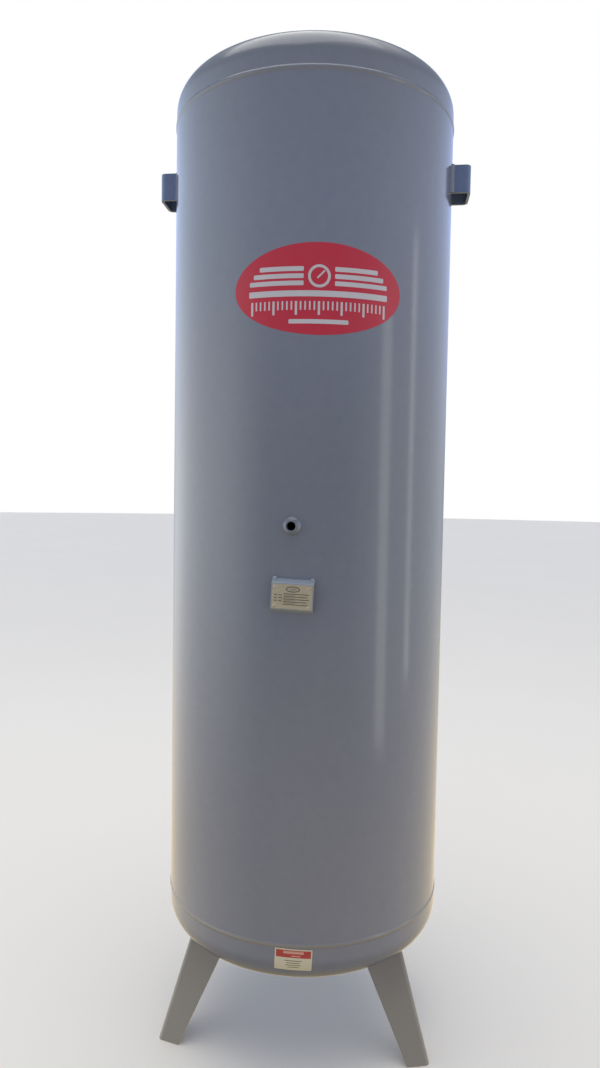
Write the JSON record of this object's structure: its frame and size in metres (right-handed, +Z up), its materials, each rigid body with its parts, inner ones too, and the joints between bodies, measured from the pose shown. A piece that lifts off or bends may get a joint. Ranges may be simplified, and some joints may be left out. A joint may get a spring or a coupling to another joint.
{
  "type": "air receiver tank",
  "caption": "Tall upright compressed-air receiver: a welded cylinder between domed ends on folded legs, with pipe sockets, lifting lugs, a data plate and an oval decal.",
  "frame": {"origin": "centre of the anchor bolt circle, on the floor plane and on the tank's axis", "axes": "+Z up along the tank's axis, -Y the front with the gauge port and data plate, +X to the right seen from the front"},
  "size_m": [0.676, 0.6582, 2.1263],
  "materials": {
    "vessel_enamel": "glossy grey enamel over steel plate",
    "leg_enamel": "satin grey enamel over steel plate",
    "plate_aluminium": "matt anodised aluminium sheet",
    "bracket_enamel": "grey enamel over steel sheet",
    "rivet_aluminium": "plain aluminium",
    "plug_steel": "zinc plated steel",
    "decal_film": "gloss red vinyl film",
    "label_film": "printed vinyl film"
  },
  "bodies": {
    "root": {"bottom_girth_weld": "vessel_enamel", "top_girth_weld": "vessel_enamel", "longitudinal_weld": "vessel_enamel", "gauge_socket": "vessel_enamel", "gauge_socket_weld": "vessel_enamel", "inlet_socket": "vessel_enamel", "inlet_socket_weld": "vessel_enamel", "outlet_socket": "vessel_enamel", "outlet_socket_weld": "vessel_enamel", "inspection_socket": "vessel_enamel", "inspection_socket_weld": "vessel_enamel", "safety_valve_socket": "vessel_enamel", "safety_valve_socket_weld": "vessel_enamel", "drain_socket": "vessel_enamel", "drain_socket_weld": "vessel_enamel", "shell_plate": "vessel_enamel", "top_dished_end": "vessel_enamel", "bottom_dished_end": "vessel_enamel", "left_lifting_lug": "vessel_enamel", "left_lug_weld": "vessel_enamel", "right_lifting_lug": "vessel_enamel", "right_lug_weld": "vessel_enamel", "front_left_leg": "leg_enamel", "front_left_leg_weld": "leg_enamel", "front_left_foot_plate": "leg_enamel", "front_right_leg": "leg_enamel", "front_right_leg_weld": "leg_enamel", "front_right_foot_plate": "leg_enamel", "rear_leg": "leg_enamel", "rear_leg_weld": "leg_enamel", "rear_foot_plate": "leg_enamel", "nameplate_bracket": "bracket_enamel", "nameplate_bracket_welds": "bracket_enamel", "nameplate": "plate_aluminium", "nameplate_rivets": "rivet_aluminium", "inspection_plug": "plug_steel", "oval_decal": "decal_film", "warning_label": "label_film"}
  },
  "joints": []
}
